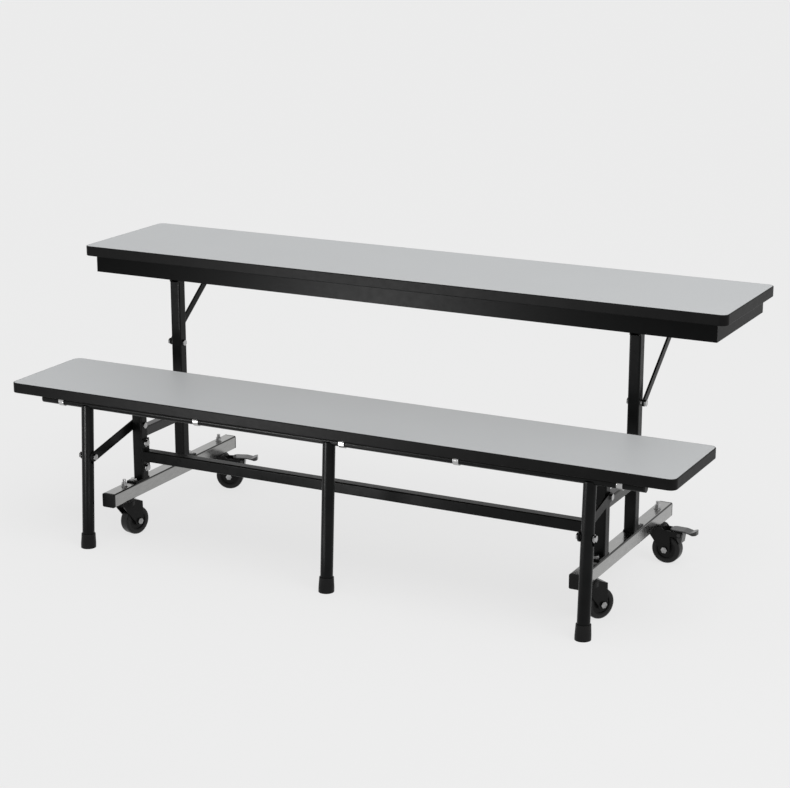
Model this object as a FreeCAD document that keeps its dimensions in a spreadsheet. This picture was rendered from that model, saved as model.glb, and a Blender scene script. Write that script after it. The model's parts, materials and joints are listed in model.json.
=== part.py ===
import FreeCAD, Part
import math
import operator
import os
import types

import Sketcher
from FreeCAD import Placement, Rotation, Vector

# Mobile folding table with one attached folding bench.
# +X runs along the table, +Y from the bench to the table and +Z up. The origin lies on the
# floor under the middle of the whole unit. Lengths are millimetres, angles are degrees.

SIZES = {
    # table top and bench seat
    "table_length": 1838.0,
    "table_depth": 382.0,
    "table_height": 736.0,
    "bench_length": 1850.0,
    "bench_depth": 299.0,
    "bench_height": 429.0,
    "bench_gap": 43.0,
    "board_thickness": 27.0,
    "laminate_thickness": 1.2,
    "backing_thickness": 0.8,
    "edge_band": 2.5,
    "board_corner": 19.0,
    "edge_rounding": 2.0,
    # sheet apron under the table top
    "apron_front_inset": 20.0,
    "apron_rear_inset": 4.0,
    "apron_end_inset": 28.5,
    "apron_drop": 46.0,
    "apron_sheet": 2.5,
    "apron_flange": 20.0,
    # bench tubes and clips
    "bench_tube_diameter": 22.0,
    "bench_tube_wall": 2.0,
    "bench_tube_length": 1688.0,
    "bench_tube_drop": 13.6,
    "rear_tube_inset": 49.0,
    "bench_tube_spacing": 213.0,
    "tube_plug": 4.0,
    "clip_sheet": 2.3,
    "clip_width": 15.0,
    "clip_tab": 14.0,
    "clip_outer_x": 782.0,
    "clip_inner_x": 366.0,
    "clip_middle_x": 56.0,
    # bench legs
    "leg_diameter": 32.0,
    "leg_wall": 2.0,
    "leg_x": 706.0,
    "middle_leg_x": 16.0,
    "leg_lean": 3.1,
    "leg_top_drop": 2.5,
    "foot_height": 38.0,
    "foot_diameter": 40.0,
    "foot_top_diameter": 37.0,
    "foot_rim": 12.0,
    "foot_sole": 5.0,
    # posts, cross links and stretcher
    "post_size": 30.0,
    "post_wall": 2.5,
    "post_corner": 4.0,
    "post_x": 668.0,
    "front_post_y": -125.0,
    "rear_post_y": 79.0,
    "front_post_gap": 2.0,
    "ear_sheet": 4.0,
    "ear_root": 20.0,
    "foot_plate_reach": 48.0,
    "foot_plate_margin": 2.0,
    "foot_plate_thickness": 4.0,
    "foot_bolt_offset": 36.0,
    "link_size": 27.0,
    "link_z": 270.0,
    "stretcher_size": 30.0,
    "stretcher_z": 208.0,
    "end_plate_height": 91.0,
    "end_plate_thickness": 4.0,
    "end_bolt_offset": 34.5,
    # bench hinge sleeves on the front posts
    "sleeve_wall": 2.0,
    "sleeve_inboard": 30.0,
    "sleeve_outboard": 80.0,
    "sleeve_web": 26.0,
    # braces between the front posts and the bench legs
    "brace_width": 25.0,
    "brace_thickness": 5.0,
    "brace_post_z": 291.0,
    "brace_leg_z": 249.0,
    "brace_spacer": 1.5,
    "brace_slot_travel": 14.0,
    "brace_slot_side": 2.2,
    # table hinge, tracks, shoes and struts
    "hinge_drop": 42.0,
    "hinge_pin_diameter": 10.0,
    "track_width": 36.0,
    "track_height": 24.0,
    "track_sheet": 3.0,
    "track_opening": 20.0,
    "track_front": 40.0,
    "track_rear": 250.0,
    "shoe_length": 60.0,
    "shoe_neck_length": 36.0,
    "shoe_barrel_diameter": 22.0,
    "slide_clearance": 0.3,
    "strut_width": 18.0,
    "strut_thickness": 5.0,
    "strut_spacer": 5.0,
    "strut_post_drop": 192.0,
    "strut_top_inset": 52.0,
    "strut_top_drop": 42.0,
    "strut_pin_diameter": 8.0,
    "hook_sheet": 4.0,
    "hook_front": 14.0,
    "hook_rear": 16.0,
    "hook_prong": 8.0,
    "hook_clearance": 0.6,
    "hook_relief": 3.2,
    "hook_flange": 26.0,
    # base runners and casters
    "runner_size": 37.5,
    "runner_wall": 2.5,
    "runner_corner": 4.0,
    "runner_front_y": -282.0,
    "runner_rear_inset": 49.0,
    "front_cap": 6.0,
    "rear_cap": 4.0,
    "cap_plug": 14.0,
    "caster_height": 102.5,
    "front_stem_inset": 76.0,
    "rear_stem_inset": 63.0,
    "stem_diameter": 9.0,
    "stem_collar": 3.0,
    "collar_diameter": 30.0,
    "stem_head": 3.0,
    "stem_nut_width": 14.0,
    "stem_nut": 9.0,
    "stem_thread": 9.0,
    "wheel_diameter": 77.0,
    "wheel_width": 30.0,
    "tyre_depth": 11.0,
    "tyre_shoulder": 5.0,
    "hub_web": 25.0,
    "hub_rim": 4.0,
    "hub_boss_diameter": 26.0,
    "caster_trail": 32.0,
    "fork_gap": 34.0,
    "fork_sheet": 3.5,
    "fork_crown_diameter": 54.0,
    "fork_crown": 10.0,
    "fork_front": 22.0,
    "fork_slope": 7.0,
    "fork_rear": 45.0,
    "fork_boss_diameter": 28.0,
    "axle_diameter": 10.0,
    "heading_front_left": 76.0,
    "heading_front_right": 60.0,
    "heading_rear_left": 21.0,
    "heading_rear_right": -3.0,
    # brake levers of the rear casters
    "lever_pivot_x": 70.0,
    "lever_pivot_z": 84.0,
    "fork_arm_width": 15.0,
    "lever_play": 1.5,
    "lever_width": 34.0,
    "lever_block_width": 26.0,
    "lever_sheet": 3.0,
    "lever_inner_x": 42.0,
    "lever_bend_x": 80.0,
    "lever_reach": 113.0,
    "lever_tip_corner": 12.0,
    "lever_dip": 3.5,
    "lever_lift": 4.0,
    "lever_rim_drop": 6.0,
    "lever_rim_length": 9.0,
    "lever_pin_diameter": 7.0,
    "lever_pin_head": 1.5,
    "brake_pad_angle": 55.0,
    "brake_pad_length": 12.0,
    "brake_pad_depth": 6.0,
    "brake_pad_gap": 2.8,
    # fasteners and fits
    "bolt_diameter": 8.0,
    "bolt_head_width": 15.0,
    "bolt_head": 5.0,
    "washer_diameter": 20.0,
    "washer": 1.5,
    "screw_diameter": 8.0,
    "screw_head": 1.6,
    "screw_pitch": 215.0,
    "fit_clearance": 0.06,
    "side_clearance": 0.3,
    "nominal_gap": 0.5,
}

doc = FreeCAD.newDocument("folding_bench_table")
sheet = doc.addObject("Spreadsheet::Sheet", "sizes")


def fill_sheet():
    for row, (name, value) in enumerate(SIZES.items(), start=1):
        sheet.set(f"A{row}", name)
        sheet.set(f"B{row}", str(value))
        sheet.setAlias(f"B{row}", name)
    doc.recompute()


# ---------------------------------------------------------------- sizes as formulas

class Size:
    """A length or angle that holds its number and its formula in the sheet."""

    def __init__(self, value, text):
        self.value = value
        self.text = text

    def __add__(self, other):
        return combined(self, "+", other)

    def __radd__(self, other):
        return combined(other, "+", self)

    def __sub__(self, other):
        return combined(self, "-", other)

    def __rsub__(self, other):
        return combined(other, "-", self)

    def __mul__(self, other):
        return combined(self, "*", other)

    def __rmul__(self, other):
        return combined(other, "*", self)

    def __truediv__(self, other):
        return combined(self, "/", other)

    def __neg__(self):
        return combined(0, "-", self)


OPERATIONS = {"+": operator.add, "-": operator.sub, "*": operator.mul, "/": operator.truediv}


def as_size(item):
    if isinstance(item, Size):
        return item
    return Size(float(item), f"({float(item)})")


def combined(left, sign, right):
    left = as_size(left)
    right = as_size(right)
    return Size(OPERATIONS[sign](left.value, right.value), f"({left.text} {sign} {right.text})")


def sine(angle):
    return Size(math.sin(math.radians(angle.value)), f"sin({angle.text})")


def cosine(angle):
    return Size(math.cos(math.radians(angle.value)), f"cos({angle.text})")


def tangent(angle):
    return Size(math.tan(math.radians(angle.value)), f"tan({angle.text})")


def distance(first, second):
    return Size(math.hypot(first.value, second.value), f"hypot({first.text}; {second.text})")


def slope(rise, run):
    value = math.degrees(math.atan2(rise.value, run.value))
    return Size(value, f"(atan2({rise.text}; {run.text}) / 1deg)")


s = types.SimpleNamespace(**{name: Size(value, f"sizes.{name}") for name, value in SIZES.items()})

# ---------------------------------------------------------------- derived places

# Depths are given from the front edge of the table top and moved by `depth` to the frame.
board_under = s.table_height - s.board_thickness
bench_under = s.bench_height - s.board_thickness
bench_tube_z = bench_under - s.bench_tube_drop
rear_tube_y = -s.bench_gap - s.rear_tube_inset
front_tube_y = rear_tube_y - s.bench_tube_spacing
foot_y = front_tube_y - bench_tube_z * tangent(s.leg_lean)
foot_front_y = foot_y - s.foot_diameter / 2 / cosine(s.leg_lean)
middle_y = (s.table_depth + foot_front_y) / 2


def depth(place):
    return place - middle_y


hinge_z = board_under - s.hinge_drop
strut_post_z = hinge_z - s.strut_post_drop
strut_top_y = s.table_depth - s.strut_top_inset
strut_top_z = board_under - s.strut_top_drop
runner_rear_y = s.table_depth - s.runner_rear_inset
front_stem_y = s.runner_front_y + s.front_stem_inset
rear_stem_y = runner_rear_y - s.rear_stem_inset
runner_top = s.caster_height + s.runner_size
post_half = s.post_size / 2
post_outer_x = s.post_x + post_half
post_inner_x = s.post_x - post_half
brace_x = post_outer_x + s.brace_spacer
strut_x = post_outer_x + s.strut_spacer
bolt_radius = s.bolt_diameter / 2
bolt_hole_radius = bolt_radius + s.fit_clearance
tube_radius = s.bench_tube_diameter / 2
tube_bore_radius = tube_radius + s.fit_clearance
SIDES = {"left": -1, "right": 1}

# ---------------------------------------------------------------- building blocks

TURNS = {"x": Rotation(Vector(0, 1, 0), 90), "y": Rotation(Vector(1, 0, 0), -90), "z": Rotation()}
nodes = []


def keep(item, label):
    """Make an object a sub-part of the table, named by its label."""
    item.Label = label
    nodes.append(item)
    return item


def bind(item, prop, size):
    item.setExpression(prop, as_size(size).text)


def bind_place(item, x, y, z):
    for letter, size in zip("xyz", (x, y, z)):
        bind(item, f"Placement.Base.{letter}", size)


def mirrored(side, low, high):
    """A span across the length, on the right side, or mirrored to the left side."""
    return (low, high) if side > 0 else (-high, -low)


def box(name, x_span, y_span, z_span):
    item = doc.addObject("Part::Box", name)
    spans = (x_span, y_span, z_span)
    for prop, (low, high) in zip(("Length", "Width", "Height"), spans):
        bind(item, prop, as_size(high) - low)
    bind_place(item, *(span[0] for span in spans))
    return item


def along(item, axis, span, across):
    """Stand a round or six-sided solid along an axis, centred on the two other coordinates."""
    item.Placement = Placement(Vector(), TURNS[axis])
    bind(item, "Height", as_size(span[1]) - span[0])
    bind(item, f"Placement.Base.{axis}", span[0])
    for letter, size in zip([other for other in "xyz" if other != axis], across):
        bind(item, f"Placement.Base.{letter}", size)
    return item


def rod(name, axis, radius, span, across):
    item = doc.addObject("Part::Cylinder", name)
    bind(item, "Radius", radius)
    return along(item, axis, span, across)


def hexagon(name, axis, width, span, across):
    item = doc.addObject("Part::Prism", name)
    item.Polygon = 6
    bind(item, "Circumradius", width / 2 / cosine(as_size(30)))
    return along(item, axis, span, across)


def fuse(name, shapes):
    item = doc.addObject("Part::MultiFuse", name)
    item.Shapes = shapes
    item.Refine = True
    return item


def cut(name, base, tools):
    item = doc.addObject("Part::Cut", name)
    item.Base = base
    item.Tool = tools[0] if len(tools) == 1 else fuse(name + "_tools", tools)
    return item


def group(name, shapes):
    item = doc.addObject("Part::Compound", name)
    item.Links = shapes
    return item


def new_body(name):
    return doc.addObject("PartDesign::Body", name)


def new_sketch(body, name, role="XY_Plane"):
    sketch = body.newObject("Sketcher::SketchObject", name)
    plane = next(item for item in body.Origin.OriginFeatures if item.Role == role)
    sketch.AttachmentSupport = [(plane, "")]
    sketch.MapMode = "FlatFace"
    return sketch


def constrain(sketch, name, kind, *arguments):
    """Add a dimension whose last argument is a size, and bind it to the sheet."""
    size = as_size(arguments[-1])
    index = sketch.addConstraint(Sketcher.Constraint(kind, *arguments[:-1], size.value))
    sketch.renameConstraint(index, name)
    sketch.setExpression(f"Constraints.{name}", size.text)


def draw_polygon(sketch, corners, tag="corner"):
    """Draw a closed outline with straight sides, each corner fixed from the origin."""
    points = [Vector(as_size(x).value, as_size(y).value, 0) for x, y in corners]
    first = sketch.GeometryCount
    for start, end in zip(points, points[1:] + points[:1]):
        sketch.addGeometry(Part.LineSegment(start, end), False)
    for index, (x, y) in enumerate(corners):
        line = first + index
        before = first + (index - 1) % len(corners)
        sketch.addConstraint(Sketcher.Constraint("Coincident", before, 2, line, 1))
        constrain(sketch, f"{tag}_{index}_x", "DistanceX", -1, 1, line, 1, x)
        constrain(sketch, f"{tag}_{index}_y", "DistanceY", -1, 1, line, 1, y)


def draw_circle(sketch, x, y, radius, tag="circle"):
    centre = Vector(as_size(x).value, as_size(y).value, 0)
    index = sketch.addGeometry(Part.Circle(centre, Vector(0, 0, 1), radius.value), False)
    constrain(sketch, f"{tag}_x", "DistanceX", -1, 1, index, 3, x)
    constrain(sketch, f"{tag}_y", "DistanceY", -1, 1, index, 3, y)
    constrain(sketch, f"{tag}_radius", "Radius", index, radius)


def draw_rounded_rectangle(sketch, width, height, radius, tag="outer"):
    """Draw a rectangle with round corners about the sketch's origin."""
    half_width = width / 2
    half_height = height / 2
    right, top, r = half_width.value, half_height.value, radius.value
    first = sketch.GeometryCount
    lines = (
        (Vector(-right + r, -top, 0), Vector(right - r, -top, 0)),
        (Vector(right, -top + r, 0), Vector(right, top - r, 0)),
        (Vector(right - r, top, 0), Vector(-right + r, top, 0)),
        (Vector(-right, top - r, 0), Vector(-right, -top + r, 0)),
    )
    centres = ((right - r, -top + r), (right - r, top - r), (-right + r, top - r), (-right + r, -top + r))
    for start, end in lines:
        sketch.addGeometry(Part.LineSegment(start, end), False)
    for index, (x, y) in enumerate(centres):
        circle = Part.Circle(Vector(x, y, 0), Vector(0, 0, 1), r)
        start = math.pi / 2 * (index - 1)
        sketch.addGeometry(Part.ArcOfCircle(circle, start, start + math.pi / 2), False)
    for index in range(4):
        line = first + index
        arc = first + 4 + index
        following = first + (index + 1) % 4
        sketch.addConstraint(Sketcher.Constraint("Tangent", line, 2, arc, 1))
        sketch.addConstraint(Sketcher.Constraint("Tangent", arc, 2, following, 1))
        constrain(sketch, f"{tag}_radius_{index}", "Radius", arc, radius)
    for index, direction in enumerate(("Horizontal", "Vertical", "Horizontal", "Vertical")):
        sketch.addConstraint(Sketcher.Constraint(direction, first + index))
    constrain(sketch, f"{tag}_bottom", "DistanceY", -1, 1, first, 1, -half_height)
    constrain(sketch, f"{tag}_right", "DistanceX", -1, 1, first + 1, 1, half_width)
    constrain(sketch, f"{tag}_top", "DistanceY", -1, 1, first + 2, 1, half_height)
    constrain(sketch, f"{tag}_left", "DistanceX", -1, 1, first + 3, 1, -half_width)


def draw_bar(sketch, start, end, radius, upright=False, tag="bar"):
    """Draw a bar outline with round ends, along the sketch's horizontal or vertical axis."""
    low, high, r = as_size(start), as_size(end), radius.value

    def place(run, side):
        return Vector(side, run, 0) if upright else Vector(run, -side, 0)

    first = sketch.GeometryCount
    lines = (
        (place(low.value, r), place(high.value, r)),
        (place(high.value, -r), place(low.value, -r)),
    )
    for begin, finish in lines:
        sketch.addGeometry(Part.LineSegment(begin, finish), False)
    turn = 0.0 if upright else -math.pi / 2
    for run, angle in ((high, turn), (low, turn + math.pi)):
        circle = Part.Circle(place(run.value, 0), Vector(0, 0, 1), r)
        sketch.addGeometry(Part.ArcOfCircle(circle, angle, angle + math.pi), False)
    joins = ((0, 2, 2, 1), (2, 2, 1, 1), (1, 2, 3, 1), (3, 2, 0, 1))
    for one, one_end, other, other_end in joins:
        sketch.addConstraint(
            Sketcher.Constraint("Tangent", first + one, one_end, first + other, other_end))
    for index, run in ((2, high), (3, low)):
        across, up = (0, run) if upright else (run, 0)
        constrain(sketch, f"{tag}_{index}_x", "DistanceX", -1, 1, first + index, 3, across)
        constrain(sketch, f"{tag}_{index}_y", "DistanceY", -1, 1, first + index, 3, up)
    constrain(sketch, f"{tag}_radius", "Radius", first + 2, radius)


def pad(body, sketch, length, symmetric=False):
    item = body.newObject("PartDesign::Pad", sketch.Name + "_pad")
    item.Profile = sketch
    bind(item, "Length", length)
    if symmetric:
        item.SideType = "Symmetric"
    body.Tip = item
    return item


def pocket(body, sketch, length):
    """Cut a sketch's outline away to the same depth on both sides of its plane."""
    item = body.newObject("PartDesign::Pocket", sketch.Name + "_pocket")
    item.Profile = sketch
    item.SideType = "Symmetric"
    bind(item, "Length", length)
    body.Tip = item
    return item


def revolve(body, sketch, axis="V_Axis"):
    item = body.newObject("PartDesign::Revolution", sketch.Name + "_turned")
    item.Profile = sketch
    item.ReferenceAxis = (sketch, [axis])
    item.Angle = 360
    body.Tip = item
    return item


def hollow_bar(name, axis, width, wall, corner, span, across):
    """A square tube along an axis."""
    body = new_body(name)
    sketch = new_sketch(body, name + "_section")
    draw_rounded_rectangle(sketch, width, width, corner)
    draw_rounded_rectangle(sketch, width - 2 * wall, width - 2 * wall, corner - wall, "inner")
    pad(body, sketch, as_size(span[1]) - span[0])
    body.Placement = Placement(Vector(), TURNS[axis])
    bind(body, f"Placement.Base.{axis}", span[0])
    for letter, size in zip([other for other in "xyz" if other != axis], across):
        bind(body, f"Placement.Base.{letter}", size)
    return body


def bolt_with_head(name, axis, across, head_at, outward, shank_end, washer=True):
    """A hexagon bolt; its head stands on `head_at` and points `outward` (+1 or -1)."""
    seat = as_size(head_at)
    pieces = []
    if washer:
        rim = seat + outward * s.washer
        pieces.append(rod(name + "_washer", axis, s.washer_diameter / 2, ordered(seat, rim), across))
        seat = rim
    top = seat + outward * s.bolt_head
    pieces.append(hexagon(name + "_head", axis, s.bolt_head_width, ordered(seat, top), across))
    pieces.append(rod(name + "_shank", axis, bolt_radius, ordered(top, shank_end), across))
    return fuse(name, pieces)


def ordered(first, second):
    first = as_size(first)
    second = as_size(second)
    return (first, second) if first.value < second.value else (second, first)


# ---------------------------------------------------------------- table top and bench seat

def flat_board(label, length, width, corner, low, thickness, centre_y):
    body = keep(new_body(label), label)
    sketch = new_sketch(body, label + "_outline")
    draw_rounded_rectangle(sketch, length, width, corner)
    pad(body, sketch, thickness)
    bind_place(body, 0, centre_y, low)


def edge_band(label, length, width, low, centre_y):
    body = keep(new_body(label), label)
    sketch = new_sketch(body, label + "_outline")
    draw_rounded_rectangle(sketch, length, width, s.board_corner)
    inner_length = length - 2 * s.edge_band
    inner_width = width - 2 * s.edge_band
    draw_rounded_rectangle(sketch, inner_length, inner_width, s.board_corner - s.edge_band, "inner")
    band = pad(body, sketch, s.board_thickness)
    doc.recompute()
    rounding = body.newObject("PartDesign::Fillet", label + "_rounding")
    rounding.Base = (band, outer_rim_edges(band.Shape, length.value, width.value))
    bind(rounding, "Radius", s.edge_rounding)
    body.Tip = rounding
    bind_place(body, 0, centre_y, low)


def outer_rim_edges(shape, length, width):
    """Names of the edges along the outside of the top and bottom faces of a band."""
    names = []
    for index, edge in enumerate(shape.Edges, start=1):
        bounds = edge.BoundBox
        flat = bounds.ZLength < 1e-6
        reach_x = max(abs(bounds.XMin), abs(bounds.XMax)) > length / 2 - 1e-6
        reach_y = max(abs(bounds.YMin), abs(bounds.YMax)) > width / 2 - 1e-6
        if flat and (reach_x or reach_y):
            names.append(f"Edge{index}")
    return names


def build_board(prefix, length, width, top, centre_y):
    low = top - s.board_thickness
    inner_length = length - 2 * s.edge_band
    inner_width = width - 2 * s.edge_band
    inner_corner = s.board_corner - s.edge_band
    core = s.board_thickness - s.laminate_thickness - s.backing_thickness
    layers = (
        ("backing", low, s.backing_thickness),
        ("core", low + s.backing_thickness, core),
        ("laminate", top - s.laminate_thickness, s.laminate_thickness),
    )
    for name, level, thickness in layers:
        flat_board(f"{prefix}_{name}", inner_length, inner_width, inner_corner, level, thickness, centre_y)
    edge_band(f"{prefix}_edge_band", length, width, low, centre_y)


def build_apron():
    low = board_under - s.apron_drop
    end_x = s.table_length / 2 - s.apron_end_inset
    front = depth(s.apron_front_inset)
    rear = depth(s.table_depth - s.apron_rear_inset)
    flange_low = board_under - s.apron_sheet
    rails = (("front", front, 1), ("rear", rear, -1))
    for name, face, inward in rails:
        wall = box(f"apron_{name}_wall", (-end_x, end_x), ordered(face, face + inward * s.apron_sheet),
                   (low, board_under))
        flange = box(f"apron_{name}_flange", (-end_x, end_x),
                     ordered(face, face + inward * s.apron_flange), (flange_low, board_under))
        keep(fuse(f"apron_{name}", [wall, flange]), f"apron_{name}")
    ends = []
    between = (front + s.apron_flange, rear - s.apron_flange)
    corners = (front + s.apron_sheet, rear - s.apron_sheet)
    for name, side in SIDES.items():
        wall = box(f"apron_{name}_wall", mirrored(side, end_x - s.apron_sheet, end_x), corners,
                   (low, flange_low))
        flange = box(f"apron_{name}_flange", mirrored(side, end_x - s.apron_flange, end_x), between,
                     (flange_low, board_under))
        ends.append(fuse(f"apron_{name}", [wall, flange]))
    keep(group("apron_ends", ends), "apron_ends")


def build_table_screws():
    """Pan heads under the flanges of the front and rear apron rails."""
    level = board_under - s.apron_sheet
    count = int((SIZES["table_length"] / 2 - SIZES["apron_end_inset"]) / SIZES["screw_pitch"])
    front = depth(s.apron_front_inset + s.apron_sheet / 2 + s.apron_flange / 2)
    rear = depth(s.table_depth - s.apron_rear_inset - s.apron_sheet / 2 - s.apron_flange / 2)
    heads = []
    for row, y in (("front", front), ("rear", rear)):
        for index in range(-count, count + 1):
            x = index * s.screw_pitch
            heads.append(rod(f"table_screw_{row}_{index + count}", "z", s.screw_diameter / 2,
                             (level - s.screw_head, level), (x, y)))
    keep(group("table_screws", heads), "table_screws")


# ---------------------------------------------------------------- bench tubes, clips and legs

def bench_tube(label, y):
    half = s.bench_tube_length / 2 - s.tube_plug
    outer = rod(label + "_outside", "x", tube_radius, (-half, half), (y, bench_tube_z))
    bore = rod(label + "_bore", "x", tube_radius - s.bench_tube_wall, (-half, half), (y, bench_tube_z))
    return cut(label, outer, [bore])


def tube_plugs(label, y):
    """Plastic plugs that close the two ends of a bench tube."""
    end = s.bench_tube_length / 2
    seat = end - s.tube_plug
    inside = seat - 3 * s.tube_plug
    plugs = []
    for name, side in SIDES.items():
        head = rod(f"{label}_{name}_head", "x", tube_radius, mirrored(side, seat, end), (y, bench_tube_z))
        stem = rod(f"{label}_{name}_stem", "x", tube_radius - s.bench_tube_wall,
                   mirrored(side, inside, end), (y, bench_tube_z))
        plugs.append(fuse(f"{label}_{name}", [head, stem]))
    return plugs


def clip_places():
    outer, inner = s.clip_outer_x, s.clip_inner_x
    return (-outer, -inner, s.clip_middle_x, inner, outer)


def build_clips():
    """Straps that hold both tubes under the seat, each with a screw in its two tabs."""
    solids = []
    ring_radius = tube_bore_radius + s.clip_sheet
    for row, y_from_table in (("rear", rear_tube_y), ("front", front_tube_y)):
        y = depth(y_from_table)
        for index, x in enumerate(clip_places()):
            name = f"clip_{row}_{index}"
            span = (x - s.clip_width / 2, x + s.clip_width / 2)
            reach = ring_radius + s.clip_tab
            ring = rod(name + "_ring", "x", ring_radius, span, (y, bench_tube_z))
            tabs = box(name + "_tabs", span, (y - reach, y + reach),
                       (bench_under - s.clip_sheet, bench_under))
            bore = rod(name + "_bore", "x", tube_bore_radius, span, (y, bench_tube_z))
            solids.append(cut(name, fuse(name + "_strap", [ring, tabs]), [bore]))
            for end, direction in (("a", -1), ("b", 1)):
                place = y + direction * (reach - s.clip_tab / 2)
                under = bench_under - s.clip_sheet
                solids.append(rod(f"{name}_screw_{end}", "z", s.screw_diameter / 2,
                                  (under - s.screw_head, under), (x, place)))
    keep(group("bench_clips", solids), "bench_clips")


def turned_leg_body(name, x):
    """A body whose own +Z runs up the leaning leg, with its origin on the front tube's axis."""
    body = new_body(name)
    body.Placement = Placement(Vector(), Rotation(Vector(1, 0, 0), -SIZES["leg_lean"]))
    bind(body, "Placement.Rotation.Angle", -s.leg_lean)
    bind_place(body, x, depth(front_tube_y), bench_tube_z)
    return body


leg_axis_length = bench_tube_z / cosine(s.leg_lean)
brace_bolt_run = (bench_tube_z - s.brace_leg_z) / cosine(s.leg_lean)


def build_leg(label, x, slotted):
    body = turned_leg_body(label + "_body", x)
    sketch = new_sketch(body, label + "_section", "XZ_Plane")
    outer = s.leg_diameter / 2
    inner = outer - s.leg_wall
    bottom = -(leg_axis_length - s.foot_sole)
    top = -s.leg_top_drop
    draw_polygon(sketch, ((inner, bottom), (outer, bottom), (outer, top), (inner, top)))
    revolve(body, sketch)
    if slotted:
        slot = new_sketch(body, label + "_slot", "YZ_Plane")
        slot_top = -brace_bolt_run
        width = bolt_radius + s.brace_slot_side
        draw_bar(slot, slot_top - s.brace_slot_travel, slot_top, width, upright=True)
        pocket(body, slot, 2 * s.leg_diameter)
    tube = rod(label + "_cope", "x", tube_radius, (x - s.leg_diameter, x + s.leg_diameter),
               (depth(front_tube_y), bench_tube_z))
    keep(cut(label, body, [tube]), label)


def build_feet():
    """Plastic caps on the legs, cut flat at the floor, and the plugs of the front tube."""
    solids = []
    legs = (("left", -s.leg_x), ("middle", s.middle_leg_x), ("right", s.leg_x))
    for name, x in legs:
        body = turned_leg_body(f"foot_{name}_body", x)
        sketch = new_sketch(body, f"foot_{name}_section", "XZ_Plane")
        below = -(leg_axis_length + s.foot_sole)
        sole = -(leg_axis_length - s.foot_sole)
        rim = -(leg_axis_length - s.foot_rim)
        top = -(leg_axis_length - s.foot_height)
        bore = s.leg_diameter / 2
        draw_polygon(sketch, (
            (0, below), (s.foot_diameter / 2, below), (s.foot_diameter / 2, rim),
            (s.foot_top_diameter / 2, top), (bore, top), (bore, sole), (0, sole)))
        revolve(body, sketch)
        reach = s.foot_diameter
        centre = depth(foot_y)
        floor = box(f"foot_{name}_floor", (x - reach, x + reach), (centre - reach, centre + reach),
                    (-2 * reach, 0))
        solids.append(cut(f"foot_{name}", body, [floor]))
    solids += tube_plugs("front_tube_plug", depth(front_tube_y))
    keep(group("leg_caps", solids), "leg_caps")


def build_bench_frame():
    keep(bench_tube("bench_rear_tube", depth(rear_tube_y)), "bench_rear_tube")
    keep(group("bench_tube_plugs", tube_plugs("rear_tube_plug", depth(rear_tube_y))), "bench_tube_plugs")
    build_clips()
    keep(bench_tube("front_tube", depth(front_tube_y)), "front_tube")
    build_leg("leg_left", -s.leg_x, True)
    build_leg("leg_middle", s.middle_leg_x, False)
    build_leg("leg_right", s.leg_x, True)
    build_feet()


# ---------------------------------------------------------------- braces

brace_leg_y = front_tube_y - (bench_tube_z - s.brace_leg_z) * tangent(s.leg_lean)
brace_run = s.front_post_y - brace_leg_y
brace_fall = s.brace_post_z - s.brace_leg_z
brace_length = distance(brace_run, brace_fall)
brace_angle = slope(brace_fall, brace_run)


def build_brace(name, side):
    label = f"brace_{name}"
    body = new_body(label + "_body")
    sketch = new_sketch(body, label + "_outline", "YZ_Plane")
    draw_bar(sketch, -brace_length, 0, s.brace_width / 2)
    draw_circle(sketch, 0, 0, bolt_hole_radius, "post_hole")
    draw_circle(sketch, -brace_length, 0, bolt_hole_radius, "leg_hole")
    pad(body, sketch, s.brace_thickness, symmetric=True)
    body.Placement = Placement(Vector(), Rotation(Vector(1, 0, 0), 10))
    bind(body, "Placement.Rotation.Angle", brace_angle)
    bind_place(body, side * (brace_x + s.brace_thickness / 2), depth(s.front_post_y), s.brace_post_z)
    keep(body, label)


def build_brace_bolt(name, side):
    """The bolt that the brace carries through the slot of its leg, with a nut at the far end."""
    label = f"brace_bolt_{name}"
    across = (depth(brace_leg_y), s.brace_leg_z)
    leg_outer = s.leg_x + s.leg_diameter / 2 + s.side_clearance
    pieces = [
        rod(label + "_shank", "x", bolt_radius, mirrored(side, brace_x - s.bolt_head, leg_outer), across),
        hexagon(label + "_inner", "x", s.bolt_head_width, mirrored(side, brace_x - s.bolt_head, brace_x),
                across),
        rod(label + "_washer", "x", s.washer_diameter / 2,
            mirrored(side, leg_outer, leg_outer + s.washer), across),
        hexagon(label + "_outer", "x", s.bolt_head_width,
                mirrored(side, leg_outer + s.washer, leg_outer + s.washer + s.bolt_head), across),
    ]
    keep(fuse(label, pieces), label)


# ---------------------------------------------------------------- posts, links and stretcher

POSTS = (("front", s.front_post_y, -1), ("rear", s.rear_post_y, 1))


def foot_plate(name, x, y, outward):
    """The plate under a post; it reaches outward (-1 forwards, +1 rearwards) for its bolt."""
    inner_end = y - outward * (post_half + s.foot_plate_margin)
    return box(name, (x - post_half, x + post_half), ordered(inner_end, y + outward * s.foot_plate_reach),
               (runner_top, runner_top + s.foot_plate_thickness))


def foot_bolt_hole(name, x, y, outward):
    span = (runner_top - s.runner_wall, runner_top + s.foot_plate_thickness)
    return rod(name, "z", bolt_hole_radius, span, (x, y + outward * s.foot_bolt_offset))


post_low = runner_top + s.foot_plate_thickness
front_post_top = bench_tube_z + s.sleeve_web / 2


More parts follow.
